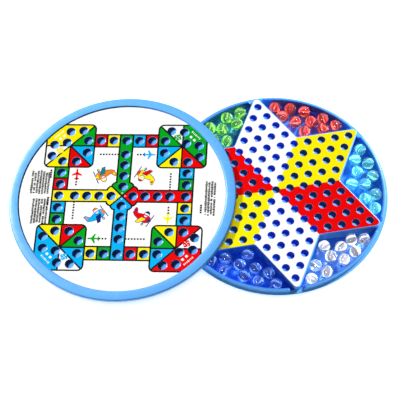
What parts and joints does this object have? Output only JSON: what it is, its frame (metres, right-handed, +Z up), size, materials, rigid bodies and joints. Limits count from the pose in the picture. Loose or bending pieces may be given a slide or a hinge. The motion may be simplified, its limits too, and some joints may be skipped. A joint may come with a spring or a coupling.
{
  "type": "chinese checkers board",
  "caption": "Round plastic marble-game box: a tray with a raised six-pointed star deck and marble pockets, and its lid with a flying-chess track leaning beside it.",
  "frame": {"origin": "centre of the flat underside of the tray, on the table", "axes": "+X along the rows of the star, away from the lid; +Y towards the star tip furthest from the player; +Z up"},
  "size_m": [0.4332, 0.28, 0.0285],
  "materials": {
    "blue_plastic": "light blue injection-moulded plastic, satin gloss",
    "star_print": "white plastic film printed with a red, yellow and white star",
    "lid_print": "white plastic film printed with a four-colour flying-chess track",
    "red_glass": "glass marble with a twisted coloured vane inside",
    "cyan_glass": "glass marble with a twisted coloured vane inside",
    "clear_glass": "glass marble with a twisted coloured vane inside",
    "blue_glass": "glass marble with a twisted coloured vane inside",
    "green_glass": "glass marble with a twisted coloured vane inside",
    "yellow_glass": "glass marble with a twisted coloured vane inside"
  },
  "bodies": {
    "tray": {"base_tray": "blue_plastic", "star_deck": "blue_plastic", "star_sheet": "star_print"},
    "lid": {"lid_shell": "blue_plastic", "lid_sheet": "lid_print"},
    "red_marbles": {"red_marble_01": "red_glass", "red_marble_02": "red_glass", "red_marble_03": "red_glass", "red_marble_04": "red_glass", "red_marble_05": "red_glass", "red_marble_06": "red_glass", "red_marble_07": "red_glass", "red_marble_08": "red_glass", "red_marble_09": "red_glass", "red_marble_10": "red_glass"},
    "cyan_marbles": {"cyan_marble_01": "cyan_glass", "cyan_marble_02": "cyan_glass", "cyan_marble_03": "cyan_glass", "cyan_marble_04": "cyan_glass", "cyan_marble_05": "cyan_glass", "cyan_marble_06": "cyan_glass", "cyan_marble_07": "cyan_glass", "cyan_marble_08": "cyan_glass", "cyan_marble_09": "cyan_glass", "cyan_marble_10": "cyan_glass"},
    "clear_marbles": {"clear_marble_01": "clear_glass", "clear_marble_02": "clear_glass", "clear_marble_03": "clear_glass", "clear_marble_04": "clear_glass", "clear_marble_05": "clear_glass", "clear_marble_06": "clear_glass", "clear_marble_07": "clear_glass", "clear_marble_08": "clear_glass", "clear_marble_09": "clear_glass", "clear_marble_10": "clear_glass"},
    "blue_marbles": {"blue_marble_02": "blue_glass", "blue_marble_03": "blue_glass", "blue_marble_04": "blue_glass", "blue_marble_05": "blue_glass", "blue_marble_06": "blue_glass", "blue_marble_07": "blue_glass", "blue_marble_08": "blue_glass", "blue_marble_09": "blue_glass", "blue_marble_10": "blue_glass"},
    "green_marbles": {"green_marble_01": "green_glass", "green_marble_02": "green_glass", "green_marble_03": "green_glass", "green_marble_04": "green_glass", "green_marble_05": "green_glass", "green_marble_06": "green_glass"},
    "covered_blue_marble": {"blue_marble_01": "blue_glass"},
    "covered_green_marbles": {"green_marble_07": "green_glass", "green_marble_08": "green_glass", "green_marble_09": "green_glass", "green_marble_10": "green_glass"},
    "covered_yellow_marbles": {"yellow_marbles": "yellow_glass"}
  },
  "joints": [
    {"name": "lid_lift", "type": "slide", "parent": "tray", "child": "lid", "axis": [0, 0, 1], "range_m": [0, 0.12]},
    {"name": "red_marbles_lift", "type": "slide", "parent": "tray", "child": "red_marbles", "axis": [0, 0, 1], "range_m": [0, 0.03]},
    {"name": "cyan_marbles_lift", "type": "slide", "parent": "tray", "child": "cyan_marbles", "axis": [0, 0, 1], "range_m": [0, 0.03]},
    {"name": "clear_marbles_lift", "type": "slide", "parent": "tray", "child": "clear_marbles", "axis": [0, 0, 1], "range_m": [0, 0.03]},
    {"name": "blue_marbles_lift", "type": "slide", "parent": "tray", "child": "blue_marbles", "axis": [0, 0, 1], "range_m": [0, 0.03]},
    {"name": "green_marbles_lift", "type": "slide", "parent": "tray", "child": "green_marbles", "axis": [0, 0, 1], "range_m": [0, 0.03]},
    {"name": "covered_blue_marble_lift", "type": "slide", "parent": "tray", "child": "covered_blue_marble", "axis": [0, 0, 1], "range_m": [0, 0.03]},
    {"name": "covered_green_marbles_lift", "type": "slide", "parent": "tray", "child": "covered_green_marbles", "axis": [0, 0, 1], "range_m": [0, 0.03]},
    {"name": "covered_yellow_marbles_lift", "type": "slide", "parent": "tray", "child": "covered_yellow_marbles", "axis": [0, 0, 1], "range_m": [0, 0.03]}
  ],
  "couplings": [
    {"joint": "covered_blue_marble_lift", "follows": "lid_lift", "ratio": 0.25},
    {"joint": "covered_green_marbles_lift", "follows": "lid_lift", "ratio": 0.25},
    {"joint": "covered_yellow_marbles_lift", "follows": "lid_lift", "ratio": 0.25}
  ]
}
